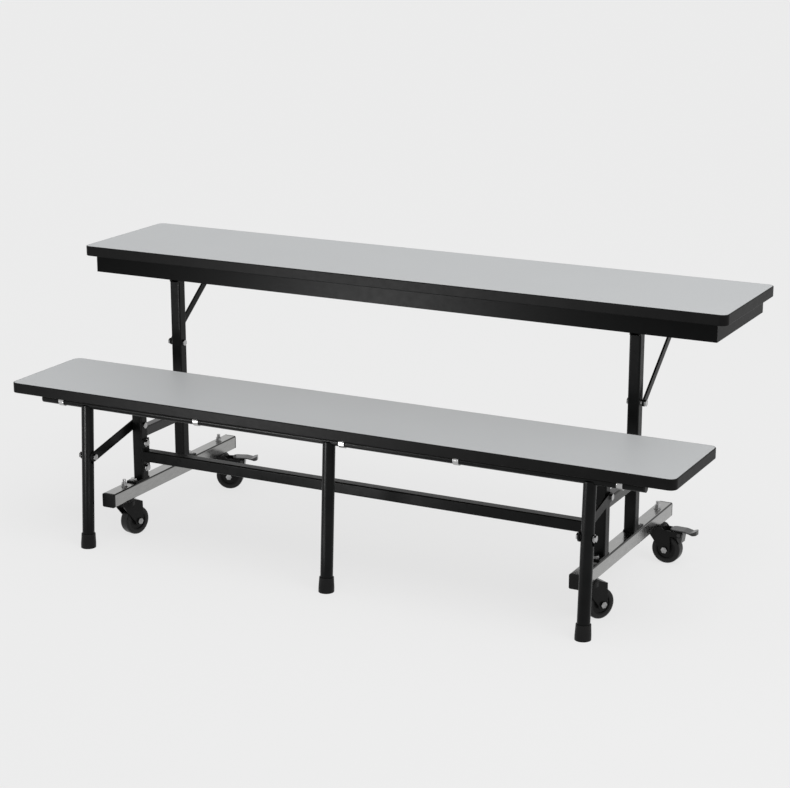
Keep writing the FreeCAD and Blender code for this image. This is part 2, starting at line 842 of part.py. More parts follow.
def build_front_post(name, side):
    label = f"front_post_{name}"
    x = side * s.post_x
    y = depth(s.front_post_y)
    tube = hollow_bar(label + "_tube", "z", s.post_size, s.post_wall, s.post_corner,
                      (post_low, front_post_top), (x, y))
    welded = fuse(label + "_welded", [tube, foot_plate(label + "_plate", x, y, -1)])
    span = mirrored(side, post_inner_x, post_outer_x)
    inner = mirrored(side, post_inner_x, s.post_x)
    holes = [foot_bolt_hole(label + "_plate_hole", x, y, -1)]
    holes.append(rod(label + "_brace_hole", "x", bolt_hole_radius, span, (y, s.brace_post_z)))
    for end, direction in (("low", -1), ("high", 1)):
        z = s.stretcher_z + direction * s.end_bolt_offset
        holes.append(rod(f"{label}_stretcher_hole_{end}", "x", bolt_hole_radius, inner, (y, z)))
    keep(cut(label, welded, holes), label)


def build_rear_post(name, side):
    """The tube carries two ears that hold the table's hinge pin."""
    label = f"rear_post_{name}"
    x = side * s.post_x
    y = depth(s.rear_post_y)
    shoulder = hinge_z - s.ear_root
    tube = hollow_bar(label + "_tube", "z", s.post_size, s.post_wall, s.post_corner,
                      (post_low, shoulder), (x, y))
    ears = []
    for end, low, high in (("outer", post_outer_x - s.ear_sheet, post_outer_x),
                           ("inner", post_inner_x, post_inner_x + s.ear_sheet)):
        span = mirrored(side, low, high)
        flat = post_half - s.post_corner
        ears.append(box(f"{label}_{end}_ear", span, (y - flat, y + flat),
                        (shoulder - s.post_size, hinge_z)))
        ears.append(box(f"{label}_{end}_cheek", span, (y - post_half, y + post_half),
                        (shoulder, hinge_z)))
        ears.append(rod(f"{label}_{end}_round", "x", post_half, span, (y, hinge_z)))
    welded = fuse(label + "_welded", [tube, foot_plate(label + "_plate", x, y, 1)] + ears)
    span = mirrored(side, post_inner_x, post_outer_x)
    holes = [foot_bolt_hole(label + "_plate_hole", x, y, 1)]
    holes.append(rod(label + "_strut_hole", "x", bolt_hole_radius, span, (y, strut_post_z)))
    pin_radius = s.hinge_pin_diameter / 2 + s.fit_clearance
    holes.append(rod(label + "_pin_hole", "x", pin_radius, span, (y, hinge_z)))
    keep(cut(label, welded, holes), label)


def build_links():
    links = []
    for name, side in SIDES.items():
        span = (depth(s.front_post_y) + post_half, depth(s.rear_post_y) - post_half)
        links.append(hollow_bar(f"cross_link_{name}", "y", s.link_size, s.post_wall, s.post_corner,
                                span, (side * s.post_x, s.link_z)))
    keep(group("cross_links", links), "cross_links")


def build_stretcher():
    reach = post_inner_x - s.end_plate_thickness
    y = depth(s.front_post_y)
    tube = hollow_bar("stretcher_tube", "x", s.stretcher_size, s.post_wall, s.post_corner,
                      (-reach, reach), (y, s.stretcher_z))
    plates = []
    holes = []
    for name, side in SIDES.items():
        span = mirrored(side, reach, post_inner_x)
        plates.append(box(f"stretcher_plate_{name}", span, (y - post_half, y + post_half),
                          (s.stretcher_z - s.end_plate_height / 2, s.stretcher_z + s.end_plate_height / 2)))
        for end, direction in (("low", -1), ("high", 1)):
            z = s.stretcher_z + direction * s.end_bolt_offset
            holes.append(rod(f"stretcher_hole_{name}_{end}", "x", bolt_hole_radius, span, (y, z)))
    keep(cut("stretcher", fuse("stretcher_welded", [tube] + plates), holes), "stretcher")


def build_sleeves():
    """Bearing sleeves that hold the bench's rear tube behind the front posts."""
    sleeves = []
    y = depth(rear_tube_y)
    radius = tube_bore_radius + s.sleeve_wall
    for name, side in SIDES.items():
        span = mirrored(side, post_inner_x - s.sleeve_inboard, post_outer_x + s.sleeve_outboard)
        ring = rod(f"sleeve_{name}_ring", "x", radius, span, (y, bench_tube_z))
        web = box(f"sleeve_{name}_web", mirrored(side, post_inner_x, post_outer_x),
                  (depth(s.front_post_y) + post_half, y),
                  (bench_tube_z - s.sleeve_web / 2, bench_tube_z + s.sleeve_web / 2))
        bore = rod(f"sleeve_{name}_bore", "x", tube_bore_radius, span, (y, bench_tube_z))
        sleeves.append(cut(f"sleeve_{name}", fuse(f"sleeve_{name}_solid", [ring, web]), [bore]))
    keep(group("bench_sleeves", sleeves), "bench_sleeves")


def build_pivot_bolts():
    """Hinge pins of the table, and the bolts of the struts and braces through the posts."""
    solids = []
    clear = s.side_clearance
    for name, side in SIDES.items():
        pin = f"hinge_pin_{name}"
        across = (depth(s.rear_post_y), hinge_z)
        radius = s.hinge_pin_diameter / 2
        solids.append(fuse(pin, [
            rod(pin + "_shank", "x", radius, mirrored(side, post_inner_x, post_outer_x), across),
            rod(pin + "_outer", "x", s.bolt_head_width / 2,
                mirrored(side, post_outer_x, post_outer_x + s.washer), across),
            rod(pin + "_inner", "x", s.bolt_head_width / 2,
                mirrored(side, post_inner_x - s.washer, post_inner_x), across)]))
        pivots = (
            ("strut", s.rear_post_y, strut_post_z, s.strut_spacer, s.strut_thickness),
            ("brace", s.front_post_y, s.brace_post_z, s.brace_spacer, s.brace_thickness),
        )
        for kind, y, z, spacer, bar in pivots:
            label = f"{kind}_pivot_{name}"
            across = (depth(y), z)
            nut = post_outer_x + spacer + bar + clear
            spacer_end = post_outer_x + spacer - clear
            head = post_inner_x - s.bolt_head
            solids.append(fuse(label, [
                rod(label + "_shank", "x", bolt_radius, mirrored(side, head, nut), across),
                rod(label + "_spacer", "x", s.bolt_head_width / 2,
                    mirrored(side, post_outer_x, spacer_end), across),
                hexagon(label + "_nut", "x", s.bolt_head_width,
                        mirrored(side, nut, nut + s.bolt_head), across),
                hexagon(label + "_head", "x", s.bolt_head_width,
                        mirrored(side, head, post_inner_x), across)]))
    keep(group("pivot_bolts", solids), "pivot_bolts")


# ---------------------------------------------------------------- table tracks, shoes and struts

track_inner_half = s.track_width / 2 - s.track_sheet
track_low = board_under - s.track_height
shoe_half_width = track_inner_half - s.slide_clearance
neck_half_width = s.track_opening / 2 - s.slide_clearance


def build_tracks():
    """C-shaped rails under the table top, open downwards for the necks of the shoes."""
    tracks = []
    half = s.track_width / 2
    opening = s.track_opening / 2
    inner = track_inner_half
    top = s.track_height
    for name, side in SIDES.items():
        body = new_body(f"track_{name}")
        sketch = new_sketch(body, f"track_{name}_section", "XZ_Plane")
        draw_polygon(sketch, (
            (-half, 0), (-opening, 0), (-opening, s.track_sheet), (-inner, s.track_sheet),
            (-inner, top - s.track_sheet), (inner, top - s.track_sheet), (inner, s.track_sheet),
            (opening, s.track_sheet), (opening, 0), (half, 0), (half, top), (-half, top)))
        pad(body, sketch, s.track_rear - s.track_front)
        bind_place(body, side * s.post_x, depth(s.track_rear), track_low)
        tracks.append(body)
    keep(group("table_tracks", tracks), "table_tracks")


def build_shoe(name, side):
    label = f"shoe_{name}"
    x = side * s.post_x
    y = depth(s.rear_post_y)
    slider_low = track_low + s.track_sheet + s.slide_clearance
    slider_high = board_under - s.track_sheet - s.slide_clearance
    barrel_half = post_half - s.ear_sheet - s.nominal_gap
    pieces = [
        box(label + "_slider", (x - shoe_half_width, x + shoe_half_width),
            (y - s.shoe_length / 2, y + s.shoe_length / 2), (slider_low, slider_high)),
        box(label + "_neck", (x - neck_half_width, x + neck_half_width),
            (y - s.shoe_neck_length / 2, y + s.shoe_neck_length / 2),
            (track_low - s.nominal_gap, slider_high)),
        box(label + "_stalk", (x - neck_half_width, x + neck_half_width),
            (y - s.shoe_barrel_diameter / 2, y + s.shoe_barrel_diameter / 2), (hinge_z, slider_low)),
        rod(label + "_barrel", "x", s.shoe_barrel_diameter / 2, (x - barrel_half, x + barrel_half),
            (y, hinge_z)),
    ]
    bore = rod(label + "_bore", "x", s.hinge_pin_diameter / 2 + s.fit_clearance,
               (x - barrel_half, x + barrel_half), (y, hinge_z))
    keep(cut(label, fuse(label + "_solid", pieces), [bore]), label)


strut_run = strut_top_y - s.rear_post_y
strut_rise = strut_top_z - strut_post_z
strut_length = distance(strut_run, strut_rise)
strut_angle = slope(strut_rise, strut_run)
ear_outer_x = strut_x - s.nominal_gap


def build_strut(name, side):
    """A flat bar with the pin that hangs in the hook under the table top."""
    label = f"strut_{name}"
    body = new_body(label + "_bar")
    sketch = new_sketch(body, label + "_outline", "YZ_Plane")
    draw_bar(sketch, 0, strut_length, s.strut_width / 2)
    draw_circle(sketch, 0, 0, bolt_hole_radius, "post_hole")
    pad(body, sketch, s.strut_thickness, symmetric=True)
    body.Placement = Placement(Vector(), Rotation(Vector(1, 0, 0), 10))
    bind(body, "Placement.Rotation.Angle", strut_angle)
    bind_place(body, side * (strut_x + s.strut_thickness / 2), depth(s.rear_post_y), strut_post_z)
    across = (depth(strut_top_y), strut_top_z)
    pin_end = ear_outer_x - s.hook_sheet - s.nominal_gap
    pin = rod(label + "_pin", "x", s.strut_pin_diameter / 2, mirrored(side, pin_end, strut_x), across)
    collar = rod(label + "_collar", "x", s.strut_pin_diameter, mirrored(side, pin_end - s.washer, pin_end),
                 across)
    keep(fuse(label, [body, pin, collar]), label)


def build_hooks():
    """Brackets under the table top; each notch is open downwards and forwards for the strut's pin."""
    hooks = []
    y = depth(strut_top_y)
    z = strut_top_z
    notch = s.strut_pin_diameter / 2 + s.hook_clearance
    for name, side in SIDES.items():
        span = mirrored(side, ear_outer_x - s.hook_sheet, ear_outer_x)
        low = z - s.hook_prong
        ear = box(f"hook_{name}_ear", span, (y - s.hook_front, y + s.hook_rear), (low, board_under))
        flange = box(f"hook_{name}_flange", mirrored(side, ear_outer_x - s.hook_flange, ear_outer_x),
                     (y - s.hook_front, y + s.hook_rear), (board_under - s.hook_sheet, board_under))
        tools = [
            rod(f"hook_{name}_seat", "x", notch, span, (y, z)),
            box(f"hook_{name}_mouth", span, (y - s.hook_front, y + notch), (low, z)),
            box(f"hook_{name}_relief", span, (y - s.hook_front, y), (low, z + s.hook_relief)),
        ]
        hooks.append(cut(f"hook_{name}", fuse(f"hook_{name}_solid", [ear, flange]), tools))
    keep(group("strut_hooks", hooks), "strut_hooks")


# ---------------------------------------------------------------- base runners and casters

def build_runner(name, side):
    label = f"runner_{name}"
    x = side * s.post_x
    z = s.caster_height + s.runner_size / 2
    front = depth(s.runner_front_y + s.front_cap)
    rear = depth(runner_rear_y - s.rear_cap)
    tube = hollow_bar(label + "_tube", "y", s.runner_size, s.runner_wall, s.runner_corner,
                      (front, rear), (x, z))
    holes = []
    for post, post_y, outward in POSTS:
        holes.append(foot_bolt_hole(f"{label}_{post}_hole", x, depth(post_y), outward))
    for stem, stem_y in (("front", front_stem_y), ("rear", rear_stem_y)):
        holes.append(rod(f"{label}_{stem}_stem_hole", "z", s.stem_diameter / 2 + s.fit_clearance,
                         (s.caster_height, runner_top), (x, depth(stem_y))))
    keep(cut(label, tube, holes), label)


def build_runner_caps():
    caps = []
    z = s.caster_height + s.runner_size / 2
    plug_width = s.runner_size - 2 * s.runner_wall
    ends = (
        ("front", s.runner_front_y, s.front_cap, 1),
        ("rear", runner_rear_y, s.rear_cap, -1),
    )
    for name, side in SIDES.items():
        for end, y, thickness, inward in ends:
            label = f"runner_cap_{end}_{name}"
            seat = y + inward * thickness
            plug_end = seat + inward * s.cap_plug
            pieces = []
            for piece, width, corner, start, stop in (
                    ("face", s.runner_size, s.runner_corner, y, seat),
                    ("plug", plug_width, s.runner_corner - s.runner_wall, seat, plug_end)):
                body = new_body(f"{label}_{piece}")
                sketch = new_sketch(body, f"{label}_{piece}_section")
                draw_rounded_rectangle(sketch, width, width, corner)
                low, high = ordered(depth(start), depth(stop))
                pad(body, sketch, high - low)
                body.Placement = Placement(Vector(), TURNS["y"])
                bind_place(body, side * s.post_x, low, z)
                pieces.append(body)
            caps.append(fuse(label, pieces))
    keep(group("runner_caps", caps), "runner_caps")


wheel_radius = s.wheel_diameter / 2
collar_low = s.caster_height - s.stem_collar
crown_top = collar_low - s.side_clearance
crown_low = crown_top - s.fork_crown

CASTERS = {
    "front_left": (-s.post_x, depth(front_stem_y), s.heading_front_left),
    "front_right": (s.post_x, depth(front_stem_y), s.heading_front_right),
    "rear_left": (-s.post_x, depth(rear_stem_y), s.heading_rear_left),
    "rear_right": (s.post_x, depth(rear_stem_y), s.heading_rear_right),
}


def caster_body(name, caster):
    """A body whose own origin lies on the floor under the stem and whose +X trails the stem."""
    x, y, heading = CASTERS[caster]
    body = new_body(name)
    body.Placement = Placement(Vector(), Rotation(Vector(0, 0, 1), 10))
    bind(body, "Placement.Rotation.Angle", heading)
    bind_place(body, x, y, 0)
    return body


def fork_outline(braked):
    """A fork from the side: the crown, the legs down to the axle and, if braked, the lever's arms."""
    boss = s.fork_boss_diameter / 2
    crown_edge = s.fork_crown_diameter / 2
    leg = [
        (-s.fork_front, crown_low),
        (s.caster_trail - boss, wheel_radius),
        (s.caster_trail + boss, wheel_radius),
    ]
    if braked:
        arm_low = s.lever_pivot_z - s.fork_arm_width / 2
        arm_high = s.lever_pivot_z + s.fork_arm_width / 2
        back = [
            (s.fork_rear, arm_low), (s.lever_pivot_x, arm_low), (s.lever_pivot_x, arm_high),
            (crown_edge, arm_high), (crown_edge - s.fork_slope, crown_top),
        ]
    else:
        back = [(s.fork_rear, crown_low), (s.fork_rear, crown_top - s.fork_slope), (crown_edge, crown_top)]
    return leg + back + [(-s.fork_front, crown_top)]


def build_fork(caster):
    label = f"fork_{caster}"
    braked = caster.startswith("rear")
    body = caster_body(label, caster)
    width = s.fork_gap + 2 * s.fork_sheet
    cheek = new_sketch(body, label + "_cheek", "XZ_Plane")
    draw_polygon(cheek, fork_outline(braked))
    pad(body, cheek, width, symmetric=True)
    rounds = [("boss", s.caster_trail, wheel_radius, s.fork_boss_diameter / 2)]
    if braked:
        rounds.append(("arm", s.lever_pivot_x, s.lever_pivot_z, s.fork_arm_width / 2))
    for name, x, z, radius in rounds:
        sketch = new_sketch(body, f"{label}_{name}", "XZ_Plane")
        draw_circle(sketch, x, z, radius)
        pad(body, sketch, width, symmetric=True)
    gap = new_sketch(body, label + "_gap", "YZ_Plane")
    half_gap = s.fork_gap / 2
    draw_polygon(gap, ((-half_gap, 0), (half_gap, 0), (half_gap, crown_low), (-half_gap, crown_low)))
    pocket(body, gap, 4 * s.lever_reach)
    if braked:
        mouth = new_sketch(body, label + "_mouth", "XZ_Plane")
        open_from = s.fork_crown_diameter / 2 - s.fork_slope
        draw_polygon(mouth, (
            (open_from, crown_low - s.fork_crown), (s.lever_reach, crown_low - s.fork_crown),
            (s.lever_reach, crown_top), (open_from, crown_top)))
        pocket(body, mouth, s.fork_gap)
    crown = new_sketch(body, label + "_crown")
    draw_circle(crown, 0, 0, s.fork_crown_diameter / 2)
    bind(crown, "AttachmentOffset.Base.z", crown_low)
    pad(body, crown, s.fork_crown)
    stem = new_sketch(body, label + "_stem")
    draw_circle(stem, 0, 0, s.stem_diameter / 2 + s.fit_clearance)
    pocket(body, stem, 3 * s.caster_height)
    bores = [("axle", s.caster_trail, wheel_radius, s.axle_diameter)]
    if braked:
        bores.append(("pivot", s.lever_pivot_x, s.lever_pivot_z, s.lever_pin_diameter))
    for name, x, z, diameter in bores:
        sketch = new_sketch(body, f"{label}_{name}", "XZ_Plane")
        draw_circle(sketch, x, z, diameter / 2 + s.fit_clearance)
        pocket(body, sketch, 2 * width)
    keep(body, label)


def wheel_body(name, caster):
    """A body turned about the axle: its sketches lie in the plane through the axle."""
    x, y, heading = CASTERS[caster]
    body = new_body(name)
    body.Placement = Placement(Vector(), Rotation(Vector(0, 0, 1), 10))
    bind(body, "Placement.Rotation.Angle", heading)
    bind_place(body, x + s.caster_trail * cosine(heading), y + s.caster_trail * sine(heading), wheel_radius)
    return body


def build_wheel(caster):
    half = s.wheel_width / 2
    seat = wheel_radius - s.tyre_depth
    tyre = wheel_body(f"tyre_{caster}", caster)
    sketch = new_sketch(tyre, f"tyre_{caster}_section", "YZ_Plane")
    shoulder = s.tyre_shoulder
    draw_polygon(sketch, (
        (-half, seat), (half, seat), (half, wheel_radius - shoulder),
        (half - shoulder / 4, wheel_radius - shoulder / 4), (half - shoulder, wheel_radius),
        (shoulder - half, wheel_radius), (shoulder / 4 - half, wheel_radius - shoulder / 4),
        (-half, wheel_radius - shoulder)))
    revolve(tyre, sketch, "H_Axis")
    keep(tyre, f"tyre_{caster}")
    hub = wheel_body(f"hub_{caster}", caster)
    sketch = new_sketch(hub, f"hub_{caster}_section", "YZ_Plane")
    web = s.hub_web / 2
    rim = seat - s.hub_rim
    boss = s.hub_boss_diameter / 2
    bore = s.axle_diameter / 2 + s.fit_clearance
    reach = s.fork_gap / 2 - s.side_clearance
    draw_polygon(sketch, (
        (-reach, bore), (reach, bore), (reach, boss), (web, boss), (web, rim), (half, rim),
        (half, seat), (-half, seat), (-half, rim), (-web, rim), (-web, boss), (-reach, boss)))
    revolve(hub, sketch, "H_Axis")
    keep(hub, f"hub_{caster}")


def build_axle(caster):
    """The axle bolt, with a hexagon head and nut outside the fork."""
    label = f"axle_{caster}"
    body = wheel_body(label, caster)
    outside = s.fork_gap / 2 + s.fork_sheet
    shank = new_sketch(body, label + "_shank", "XZ_Plane")
    draw_circle(shank, 0, 0, s.axle_diameter / 2)
    pad(body, shank, 2 * outside, symmetric=True)
    for end, role in (("head", 1), ("nut", -1)):
        sketch = new_sketch(body, f"{label}_{end}", "XZ_Plane")
        radius = s.bolt_head_width / 2 / cosine(as_size(30))
        draw_polygon(sketch, [(radius * math.cos(math.radians(60 * step)),
                               radius * math.sin(math.radians(60 * step))) for step in range(6)])
        bind(sketch, "AttachmentOffset.Base.z", role * outside - (s.bolt_head if role < 0 else 0))
        pad(body, sketch, s.bolt_head)
    keep(body, label)


def lever_plate_cuts(low):
    """What is cut away under and over the pedal: flat over the fork, dipped, with a deep rim at the tip."""
    sheet = s.lever_sheet
    inner = s.lever_inner_x - sheet
    end = s.lever_reach + sheet
    rim = s.lever_reach - s.lever_rim_length
    bends = [(inner, low), (s.lever_bend_x, low), ((s.lever_bend_x + s.lever_reach) / 2, low - s.lever_dip)]
    floor = low - s.lever_rim_drop - sheet
    roof = low + s.lever_lift + 2 * sheet
    under = bends + [(rim, low - s.lever_rim_drop), (rim, floor), (inner, floor)]
    over = [(x, z + sheet) for x, z in bends + [(end, low + s.lever_lift)]] + [(end, roof), (inner, roof)]
    return (("under", under), ("over", over))


def lever_block_outline(plate_low):
    """The block under the pedal, down to the brake pad that faces the tyre."""
    outward = (sine(s.brake_pad_angle), cosine(s.brake_pad_angle))
    reach = wheel_radius + s.brake_pad_gap
    half = s.brake_pad_length / 2
    centre_x = s.caster_trail + reach * outward[0]
    centre_z = wheel_radius + reach * outward[1]
    heel = (centre_x + half * outward[1], centre_z - half * outward[0])
    arm = s.fork_arm_width / 2
    x, z = s.lever_pivot_x, s.lever_pivot_z
    return [
        (centre_x - half * outward[1], centre_z + half * outward[0]), heel,
        (heel[0] + s.brake_pad_depth * outward[0], heel[1] + s.brake_pad_depth * outward[1]),
        (x + arm, z), (x + arm, plate_low), (x - arm, plate_low),
    ]


def build_lever(caster):
    """The brake pedal: a pressed plate, the block under it with its trunnions, and the brake pad."""
    label = f"brake_lever_{caster}"
    body = caster_body(label, caster)
    x, z = s.lever_pivot_x, s.lever_pivot_z
    plate_low = z + s.fork_arm_width / 2 + s.lever_play
    plate = new_sketch(body, label + "_plate")
    draw_rounded_rectangle(plate, s.lever_reach - s.lever_inner_x, s.lever_width, s.lever_tip_corner)
    bind(plate, "AttachmentOffset.Base.x", (s.lever_reach + s.lever_inner_x) / 2)
    bind(plate, "AttachmentOffset.Base.z", plate_low - s.lever_rim_drop)
    pad(body, plate, s.lever_rim_drop + s.lever_lift + s.lever_sheet)
    for name, corners in lever_plate_cuts(plate_low):
        sketch = new_sketch(body, f"{label}_{name}", "XZ_Plane")
        draw_polygon(sketch, corners)
        pocket(body, sketch, 2 * s.lever_width)
    block = new_sketch(body, label + "_block", "XZ_Plane")
    draw_polygon(block, lever_block_outline(plate_low))
    pad(body, block, s.lever_block_width, symmetric=True)
    outside = s.fork_gap + 2 * s.fork_sheet + 2 * s.side_clearance
    trunnion = new_sketch(body, label + "_trunnion", "XZ_Plane")
    draw_circle(trunnion, x, z, s.lever_pin_diameter / 2)
    pad(body, trunnion, outside, symmetric=True)
    for end, role in (("near", 1), ("far", -1)):
        head = new_sketch(body, f"{label}_{end}_head", "XZ_Plane")
        draw_circle(head, x, z, s.lever_pin_diameter / 2 + s.lever_pin_head)
        start = role * outside / 2 - (s.lever_pin_head if role < 0 else 0)
        bind(head, "AttachmentOffset.Base.z", start)
        pad(body, head, s.lever_pin_head)
    keep(body, label)


def build_frame_bolts():
    """Bolts of the foot plates and the stretcher, and the caster stems with their nuts."""
    solids = []
    top = runner_top + s.foot_plate_thickness
    for name, side in SIDES.items():
        x = side * s.post_x
        for post, post_y, outward in POSTS:
            y = depth(post_y) + outward * s.foot_bolt_offset
            solids.append(bolt_with_head(f"foot_bolt_{post}_{name}", "z", (x, y), top, 1,
                                         runner_top - 2 * s.runner_wall))
        plate = side * (post_inner_x - s.end_plate_thickness)
        for end, direction in (("low", -1), ("high", 1)):
            z = s.stretcher_z + direction * s.end_bolt_offset
            solids.append(bolt_with_head(f"stretcher_bolt_{name}_{end}", "x", (depth(s.front_post_y), z),
                                         plate, -side, side * (post_inner_x + 2 * s.post_wall)))
        for stem, stem_y in (("front", front_stem_y), ("rear", rear_stem_y)):
            solids.append(build_stem(f"stem_{stem}_{name}", x, depth(stem_y)))
    keep(group("frame_bolts", solids), "frame_bolts")


def build_stem(name, x, y):
    radius = s.stem_diameter / 2
    rivet_top = crown_low - s.side_clearance
    nut_low = runner_top + s.washer
    nut_top = nut_low + s.stem_nut
    return fuse(name, [
        rod(name + "_shank", "z", radius, (rivet_top - s.stem_head, nut_top + s.stem_thread), (x, y)),
        rod(name + "_collar", "z", s.collar_diameter / 2, (collar_low, s.caster_height), (x, y)),
        rod(name + "_rivet", "z", s.stem_diameter, (rivet_top - s.stem_head, rivet_top), (x, y)),
        rod(name + "_washer", "z", s.washer_diameter / 2, (runner_top, nut_low), (x, y)),
        hexagon(name + "_nut", "z", s.stem_nut_width, (nut_low, nut_top), (x, y)),
    ])


# ---------------------------------------------------------------- assembly and export

def build_all():
    centre = depth(s.table_depth / 2)
    build_board("table", s.table_length, s.table_depth, s.table_height, centre)
    build_apron()
    build_table_screws()
    build_tracks()
    build_hooks()
    build_board("bench", s.bench_length, s.bench_depth, s.bench_height,
                depth(-s.bench_gap - s.bench_depth / 2))
    build_bench_frame()
    for name, side in SIDES.items():
        build_brace(name, side)
        build_brace_bolt(name, side)
        build_shoe(name, side)
        build_strut(name, side)
        build_front_post(name, side)
        build_rear_post(name, side)
        build_runner(name, side)
    build_runner_caps()
    build_links()
    build_stretcher()
    build_sleeves()
    build_pivot_bolts()
    for caster in CASTERS:
        build_fork(caster)
        build_wheel(caster)
        build_axle(caster)
        if caster.startswith("rear"):
            build_lever(caster)
    build_frame_bolts()


def check_document():
    for item in doc.Objects:
        if "Invalid" in item.State or "Error" in item.State:
            raise RuntimeError(f"{item.Label} failed to compute: {item.State}")
    for item in nodes:
        if item.Shape.isNull() or not item.Shape.isValid() or not item.Shape.Solids:
            raise RuntimeError(f"{item.Label} has no valid solid")


def export_parts():
    os.makedirs("parts", exist_ok=True)
    for item in nodes:
        item.Shape.exportStep(f"parts/{item.Label}.step")


fill_sheet()
build_all()
doc.recompute()
check_document()
export_parts()
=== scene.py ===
import json
import math

import bmesh
import bpy
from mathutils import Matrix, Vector

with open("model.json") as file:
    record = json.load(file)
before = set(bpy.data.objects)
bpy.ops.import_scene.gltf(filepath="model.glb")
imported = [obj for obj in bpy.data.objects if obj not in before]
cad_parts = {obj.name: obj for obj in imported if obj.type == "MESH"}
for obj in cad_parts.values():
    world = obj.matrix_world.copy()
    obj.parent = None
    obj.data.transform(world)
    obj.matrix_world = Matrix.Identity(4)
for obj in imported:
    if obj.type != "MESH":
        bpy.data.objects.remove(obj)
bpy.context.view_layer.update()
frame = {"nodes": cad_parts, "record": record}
nodes = frame["nodes"]

# ---------------------------------------------------------------- node helpers


def grey(value):
    """A plain grey as a colour socket holds it."""
    return (value, value, value, 1.0)


def new_material(name):
    """A material with an empty node tree apart from its output and one Principled shader."""
    material = bpy.data.materials.new(name)
    material.use_nodes = True
    tree = material.node_tree
    tree.nodes.clear()
    output = tree.nodes.new("ShaderNodeOutputMaterial")
    shader = tree.nodes.new("ShaderNodeBsdfPrincipled")
    tree.links.new(shader.outputs["BSDF"], output.inputs["Surface"])
    return material, tree, shader


def coordinates(tree, stretch=(1.0, 1.0, 1.0)):
    """Object coordinates in metres, stretched along the axes."""
    source = tree.nodes.new("ShaderNodeTexCoord")
    mapping = tree.nodes.new("ShaderNodeMapping")
    mapping.inputs["Scale"].default_value = stretch
    tree.links.new(source.outputs["Object"], mapping.inputs["Vector"])
    return mapping.outputs["Vector"]


def noise(tree, vector, scale, detail=3.0, roughness=0.5):
    """A noise texture's value; scale is in features per metre."""
    texture = tree.nodes.new("ShaderNodeTexNoise")
    texture.inputs["Scale"].default_value = scale
    texture.inputs["Detail"].default_value = detail
    texture.inputs["Roughness"].default_value = roughness
    tree.links.new(vector, texture.inputs["Vector"])
    return texture.outputs["Fac"]


def ranged(tree, value, low, high, from_low=0.3, from_high=0.7):
    """A texture's value moved to the range low to high."""
    node = tree.nodes.new("ShaderNodeMapRange")
    node.inputs["From Min"].default_value = from_low
    node.inputs["From Max"].default_value = from_high
    node.inputs["To Min"].default_value = low
    node.inputs["To Max"].default_value = high
    tree.links.new(value, node.inputs["Value"])
    return node.outputs["Result"]


def blended(tree, factor, first, second):
    """A colour between two colours, each a tuple or a node's output; so is the factor, or it is a number."""
    node = tree.nodes.new("ShaderNodeMix")
    node.data_type = "RGBA"
    if isinstance(factor, float):
        node.inputs["Factor"].default_value = factor
    else:
        tree.links.new(factor, node.inputs["Factor"])
    for name, colour in (("A", first), ("B", second)):
        socket = next(item for item in node.inputs if item.name == name and item.type == "RGBA")
        if isinstance(colour, tuple):
            socket.default_value = (*colour, 1.0)
        else:
            tree.links.new(colour, socket)
    return next(item for item in node.outputs if item.type == "RGBA")


def combined(tree, operation, first, second):
    """Two node values put together by a maths operation."""
    node = tree.nodes.new("ShaderNodeMath")
    node.operation = operation
    tree.links.new(first, node.inputs[0])
    tree.links.new(second, node.inputs[1])
    return node.outputs[0]


def bumped(tree, shader, height, strength, distance, edge_radius=0.0):
    """Relief from a height texture on softly rounded edges."""
    bump = tree.nodes.new("ShaderNodeBump")
    bump.inputs["Strength"].default_value = strength
    bump.inputs["Distance"].default_value = distance
    tree.links.new(height, bump.inputs["Height"])
    if edge_radius:
        bevel = tree.nodes.new("ShaderNodeBevel")
        bevel.samples = 6
        bevel.inputs["Radius"].default_value = edge_radius
        tree.links.new(bevel.outputs["Normal"], bump.inputs["Normal"])
    tree.links.new(bump.outputs["Normal"], shader.inputs["Normal"])


# ---------------------------------------------------------------- materials

# The colour of the painted dark reflection on the zinc where a rolled edge faces upwards.
PAINTED_CORNER_REFLECTION = (0.02, 0.02, 0.02)
# The heights between which the lever's paint turns from its bracket to its pedal.
BRACKET_TOP = 0.0915
PEDAL_BOTTOM = 0.0925


def laminate():
    """Grey high-pressure laminate: a fine printed fleck and a faint pebble relief."""
    material, tree, shader = new_material("grey_laminate")
    shader.inputs["Specular IOR Level"].default_value = 0.25
    place = coordinates(tree)
    fleck = ranged(tree, noise(tree, place, 900.0, 2.0), 0.0, 1.0)
    cloud = ranged(tree, noise(tree, place, 5.0, 2.0), 0.0, 1.0)
    printed = blended(tree, fleck, (0.465, 0.478, 0.485), (0.495, 0.508, 0.515))
    tinted = blended(tree, cloud, (0.48, 0.492, 0.50), (0.495, 0.507, 0.515))
    tree.links.new(blended(tree, 0.5, printed, tinted), shader.inputs["Base Color"])
    grain = noise(tree, place, 420.0, 3.0)
    tree.links.new(ranged(tree, grain, 0.40, 0.48), shader.inputs["Roughness"])
    bumped(tree, shader, grain, 0.06, 0.0004)
    return material


def coated(name, dark, light, roughness, gloss):
    """Black powder coat: orange-peel relief, and patches that are slightly paler or rougher."""
    material, tree, shader = new_material(name)
    shader.inputs["Specular IOR Level"].default_value = gloss
    place = coordinates(tree)
    patches = ranged(tree, noise(tree, place, 22.0, 4.0), 0.0, 1.0)
    tree.links.new(blended(tree, patches, dark, light), shader.inputs["Base Color"])
    low, high = roughness
    tree.links.new(ranged(tree, noise(tree, place, 60.0, 3.0), low, high), shader.inputs["Roughness"])
    bumped(tree, shader, noise(tree, place, 520.0, 2.0), 0.12, 0.0003, 0.0012)
    return material


